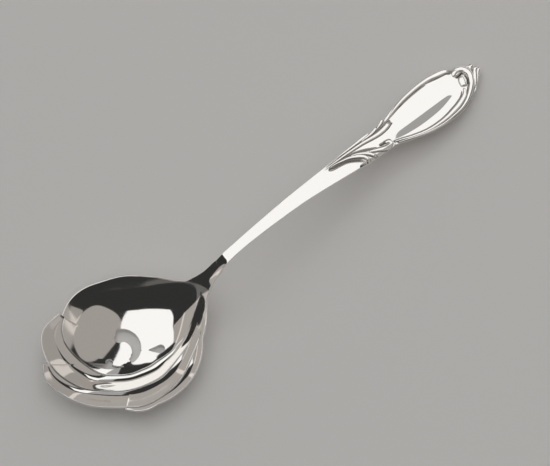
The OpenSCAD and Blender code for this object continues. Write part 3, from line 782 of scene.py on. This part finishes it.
def buildHandle():
    stations = handleStations()
    shares = np.linspace(1, -1, handle["across"])
    lean = tipCenter(stations)
    x = np.repeat(stations, len(shares))
    edge = handle["edge"]
    inner = np.maximum(halfWidth(stations) - edge, handle["leastHalf"])
    y = (lean[:, None] + inner[:, None] * shares[None]).ravel()
    cut, dark = chasedFace(x, y)
    topY = y.reshape(len(stations), -1)
    topZ = (faceZ(x, y) - cut).reshape(len(stations), -1)
    topDark = dark.reshape(len(stations), -1)
    thick = curveAt(thickLine, stations)
    bottoms = np.maximum(curveAt(faceLine, stations) - thick, 0.0)
    corner = np.linspace(0, np.pi / 2, handle["edgeSteps"])
    out, down = np.sin(corner), 1 - np.cos(corner)
    rings = []
    shadeAndOxide = []
    for i, station in enumerate(stations):
        bottom = bottoms[i]
        side = (inner[i] + edge) * handle["under"]
        soft = min(handle["soft"], thick[i] * handle["softShare"], side - handle["softGap"])
        nearTop = [(topY[i, -1] - edge * a, topZ[i, -1] - edge * b) for a, b in zip(out[1:], down[1:])]
        nearLow = [(lean[i] - side + soft * b, bottom + soft * (1 - a)) for a, b in zip(out, down)]
        farLow = [(lean[i] + side - soft * b, bottom + soft * (1 - a)) for a, b in zip(out[::-1], down[::-1])]
        farTop = [(topY[i, 0] + edge * a, topZ[i, 0] - edge * b) for a, b in zip(out[:0:-1], down[:0:-1])]
        back = lean[i] + np.linspace(-side + soft, side - soft, handle["underSteps"])[1:-1]
        ring = list(zip(topY[i], topZ[i])) + nearTop + nearLow + [(v, bottom) for v in back] + farLow + farTop
        rings.append([(station, v, w) for v, w in ring])
        # the painted shade and oxide of the cuts is kept on the top face only
        shadeAndOxide.append(np.concatenate([topDark[i], np.zeros(len(ring) - len(shares))]))
    width = len(rings[0])
    points = np.array(rings).reshape(-1, 3)
    faces = []
    for i in range(len(stations) - 1):
        first = np.arange(width) + i * width
        faces += strip(first, first + width, flip=True)
    # the two ends are closed with points of their own, so that their edges stay crisp
    points = np.concatenate([points, points[:width], points[-width:]])
    shadeAndOxide += [np.zeros(width), shadeAndOxide[-1]]
    faces.append([len(stations) * width + i for i in range(width)][::-1])
    faces.append([(len(stations) + 1) * width + i for i in range(width)])
    return makePiece("forgedHandle", points, faces, None, np.concatenate(shadeAndOxide))


fitPiece(buildHandle(), "handle", plainSilver)
print("handle forged and chased")

# how all mouldings are cut: flat on top, sunk into the face, with rounded ends
moulding = {"flat": 8.0, "across": 25, "pitch": 0.1, "endEase": 0.05, "endLeast": 0.02, "sink": 0.08,
            "foot": 0.3, "fineStart": 0.3, "startSink": 0.25, "startRun": 5, "veinWide": 0.12, "veinDeep": 0.08,
            "veinShade": 0.6, "veinRun": 6}


def buildTrim(name, piece):
    m = moulding
    line = through(piece["route"], m["pitch"])
    along = unit(np.gradient(line, axis=0))
    side = np.stack([-along[:, 1], along[:, 0]], 1)
    place = np.linspace(0, 1, len(line))
    girth = curveAt(piece["girth"], place)
    length = np.linalg.norm(np.diff(line, axis=0), axis=1).sum()
    # both ends are rounded off over half their width
    firstHalf = piece["width"] * girth[0] / 2 + m["endEase"]
    lastHalf = piece["width"] * girth[-1] / 2 + m["endEase"]
    start = np.clip(place * length / firstHalf, m["endLeast"], 1)
    end = np.clip((1 - place) * length / lastHalf, m["endLeast"], 1)
    close = np.sqrt(1 - (1 - np.minimum(start, end)) ** 2)
    half = piece["width"] * girth / 2 * close
    tall = piece["height"] * np.sqrt(girth) * close
    spread = np.sin(np.linspace(np.pi / 2, -np.pi / 2, m["across"]))
    dome = 1 - np.abs(spread) ** m["flat"]
    # some have a line chased along them, darkened as painted shade with some oxide
    vein = np.exp(-((spread - piece.get("vein", 0)) / m["veinWide"]) ** 2) * ("vein" in piece)
    shade = vein[None] * smooth(np.minimum(place, 1 - place) * m["veinRun"])[:, None]
    # they follow the face across their width, and those with a fine start grow out of it
    flat = line[:, None] + side[:, None] * (half[:, None] * spread[None])[..., None]
    ground = faceZ(flat[..., 0], flat[..., 1]) - m["sink"]
    if girth[0] < m["fineStart"]:
        ground = ground - m["startSink"] * (1 - smooth(place * m["startRun"]))[:, None]
    top = ground + tall[:, None] * dome[None] - m["veinDeep"] * shade
    rings = np.concatenate([flat, top[..., None]], 2)
    foot = rings[:, [-1, 0]].copy()
    foot[:, :, 2] = ground[:, [-1, 0]] - m["foot"]
    rings = np.concatenate([rings, foot], 1)
    width = rings.shape[1]
    faces = []
    for i in range(len(line) - 1):
        first = np.arange(width) + i * width
        faces += strip(first, first + width, flip=True)
    faces.append(list(range(width))[::-1])
    faces.append([(len(line) - 1) * width + i for i in range(width)])
    # painted shade in the vein's groove
    shadeAndOxide = np.concatenate([shade * m["veinShade"], np.zeros((len(line), 2))], 1)
    return makePiece(name.replace("_", "") + "Cast", rings.reshape(-1, 3), faces, None, shadeAndOxide.ravel())


for name, piece in trim.items():
    fitPiece(buildTrim(name, piece), name, trimSilver)

bead = {"at": (1.0, .29), "size": 1.3, "flat": 0.35, "lift": 0.13, "rings": 25, "turns": 48}


def buildBead():
    x, y = onPanel([bead["at"]])[0]
    lat = np.linspace(0, np.pi, bead["rings"])[1:-1, None]
    lon = np.linspace(0, 2 * np.pi, bead["turns"], endpoint=False)[None]
    ball = np.stack([np.sin(lat) * np.cos(lon), np.sin(lat) * np.sin(lon), np.cos(lat) + 0 * lon], 2)
    center = np.array([x, y, float(faceZ(np.array(x), np.array(y))) + bead["lift"]])
    squash = bead["size"] / 2 * np.array([1, 1, bead["flat"]])
    pole = squash * np.array([0, 0, 1])
    points = np.concatenate([[center + pole], (ball * squash + center).reshape(-1, 3), [center - pole]])
    count = bead["turns"]
    rows = len(ball)
    base = 1 + (rows - 1) * count
    faces = []
    for j in range(count):
        after = (j + 1) % count
        faces.append([0, 1 + j, 1 + after])
        faces.append([len(points) - 1, base + after, base + j])
    for i in range(rows - 1):
        first = 1 + np.arange(count) + i * count
        faces += strip(first, first + count)
    return makePiece("finialBeadCast", points, faces)


fitPiece(buildBead(), "finial_bead", trimSilver)
print("scrolls, leaves and bead soldered on")

# a plain pale sweep: a round floor that turns up into a low wall far behind, in metres
backdrop = {"color": (0.8, 0.795, 0.785), "shade": 0.97, "rough": 0.85, "grain": 14, "grainDetail": 4,
            "centerX": 0.04, "turns": 96,
            "profile": [(0.3, 0), (1.0, 0), (2.2, 0), (2.45, 0.04), (2.6, 0.12), (2.65, 0.22), (2.65, 0.36)]}


def paperMaterial(name):
    material = bpy.data.materials.new(name)
    material.use_nodes = True
    nodes = material.node_tree.nodes
    links = material.node_tree.links
    shader = nodes["Principled BSDF"]
    shader.inputs["Roughness"].default_value = backdrop["rough"]
    grain = nodes.new("ShaderNodeTexNoise")
    grain.inputs["Scale"].default_value = backdrop["grain"]
    grain.inputs["Detail"].default_value = backdrop["grainDetail"]
    tone = nodes.new("ShaderNodeMixRGB")
    tone.inputs["Color1"].default_value = (*backdrop["color"], 1)
    tone.inputs["Color2"].default_value = (*[c * backdrop["shade"] for c in backdrop["color"]], 1)
    links.new(grain.outputs["Fac"], tone.inputs["Fac"])
    links.new(tone.outputs["Color"], shader.inputs["Base Color"])
    return material


def buildSweep():
    count = backdrop["turns"]
    middle = backdrop["centerX"]
    turn = np.linspace(0, 2 * np.pi, count, endpoint=False)
    points = [(middle, 0, 0)]
    points += [(middle + r * math.cos(t), r * math.sin(t), z) for r, z in backdrop["profile"] for t in turn]
    faces = [[0, 1 + j, 1 + (j + 1) % count] for j in range(count)]
    for i in range(len(backdrop["profile"]) - 1):
        first = 1 + np.arange(count) + i * count
        faces += strip(first, first + count)
    mesh = bpy.data.meshes.new("paleSweep")
    mesh.from_pydata(points, [], faces)
    mesh.polygons.foreach_set("use_smooth", [True] * len(mesh.polygons))
    sweep = bpy.data.objects.new("paleSweep", mesh)
    sweep.data.materials.append(paperMaterial("palePaper"))
    bpy.context.scene.collection.objects.link(sweep)


# an overhead softbox and dimmer cloths beside it, then dim cards round the table
coolWhite = (1, 0.995, 0.985)
warmWhite = (1, 0.93, 0.87)
clothHeight = 1.0
cloths = {
    "overheadDiffuser": {"radiance": 1.0, "tint": coolWhite,
                         "corners": [(0.13, -1.0), (0.2, 0.25), (0.34, 0.6), (0.64, 0.8), (0.95, 0.86),
                                     (1.05, 1.5), (0.53, 1.5), (0.35, 0.95), (0.2, 0.83), (-1.33, 0.83),
                                     (-0.87, 0.14), (-0.5, -0.75)]},
    "dimDiffuser": {"radiance": 0.36, "tint": coolWhite,
                    "corners": [(0.2, 0.83), (0.35, 0.95), (0.53, 1.5), (0.0, 1.5), (0.0, 0.83)]},
    "leftCloth": {"radiance": 0.36, "tint": warmWhite,
                  "corners": [(-0.88, 0.13), (-1.34, 0.83), (-1.75, 1.1), (-1.75, -0.18)]}}
lamps = {
    "rightCard": {"at": (0.66, -0.18, 0.77), "look": (0.0, 0.0, 0.0), "size": (1.56, 1.2), "radiance": 0.33,
                  "shape": "ELLIPSE"},
    "rightWall": {"at": (1.3, 0.3, 0.24), "look": (0.0, 0.3, 0.24), "size": (2.0, 0.48), "radiance": 0.3},
    "leftCard": {"at": (-1.25, 0.62, 0.4), "look": (0.0, 0.62, 0.4), "size": (1.55, 0.8), "radiance": 0.36},
    "farCard": {"at": (-0.4, 1.5, 0.42), "look": (-0.4, 0.0, 0.42), "size": (2.3, 0.84), "radiance": 0.36},
    "cornerCard": {"at": (1.3, 1.4, 0.42), "look": (0.0, 0.0, 0.42), "size": (1.5, 0.84), "radiance": 0.3},
    "fillLamp": {"at": (0.0, 0.2, 1.6), "look": (0.0, 0.0, 0.0), "size": (1.0, 1.0), "radiance": 2.2,
                 "tint": (1, 1, 1), "shine": False}}


def studioSpot(spot):
    # side, away and up as the camera sees them, in metres
    side, up, back = viewAxes(camera["azimuth"], 0)
    return side * spot[0] - back * spot[1] + Vector((0, 0, spot[2]))


def hangCloth(name, cloth):
    mesh = bpy.data.meshes.new(name)
    corners = [studioSpot((a, b, clothHeight)) for a, b in cloth["corners"]]
    mesh.from_pydata(corners, [], [list(range(len(corners)))[::-1]])
    material = bpy.data.materials.new(name)
    material.use_nodes = True
    nodes = material.node_tree.nodes
    nodes.remove(nodes["Principled BSDF"])
    glow = nodes.new("ShaderNodeEmission")
    glow.inputs["Color"].default_value = (*cloth["tint"], 1)
    glow.inputs["Strength"].default_value = cloth["radiance"]
    material.node_tree.links.new(glow.outputs["Emission"], nodes["Material Output"].inputs["Surface"])
    mesh.materials.append(material)
    sheet = bpy.data.objects.new(name, mesh)
    bpy.context.scene.collection.objects.link(sheet)


def hangLamp(name, lamp):
    data = bpy.data.lights.new(name, "AREA")
    data.shape = lamp.get("shape", "RECTANGLE")
    wide, high = lamp["size"]
    data.size = wide
    data.size_y = high
    area = wide * high * (math.pi / 4 if data.shape == "ELLIPSE" else 1)
    data.energy = lamp["radiance"] * area * math.pi
    data.color = lamp.get("tint", warmWhite)
    card = bpy.data.objects.new(name, data)
    bpy.context.scene.collection.objects.link(card)
    spot = studioSpot(lamp["at"])
    toward = (spot - studioSpot(lamp["look"])).normalized()
    along = Vector((0, 0, 1)).cross(toward).normalized()
    turn = Matrix((along, toward.cross(along), toward)).transposed().to_4x4()
    card.matrix_world = Matrix.Translation(spot) @ turn
    card.visible_glossy = lamp.get("shine", True)


buildSweep()
for name, cloth in cloths.items():
    hangCloth(name, cloth)
for name, lamp in lamps.items():
    hangLamp(name, lamp)

darkRoom = (0.03, 0.03, 0.03)
world = bpy.data.worlds.new("studioDark")
bpy.context.scene.world = world
world.use_nodes = True
room = world.node_tree.nodes["Background"]
room.inputs["Color"].default_value = (*darkRoom, 1)
room.inputs["Strength"].default_value = 1
bpy.context.scene.view_settings.view_transform = "Standard"
print("studio lit")
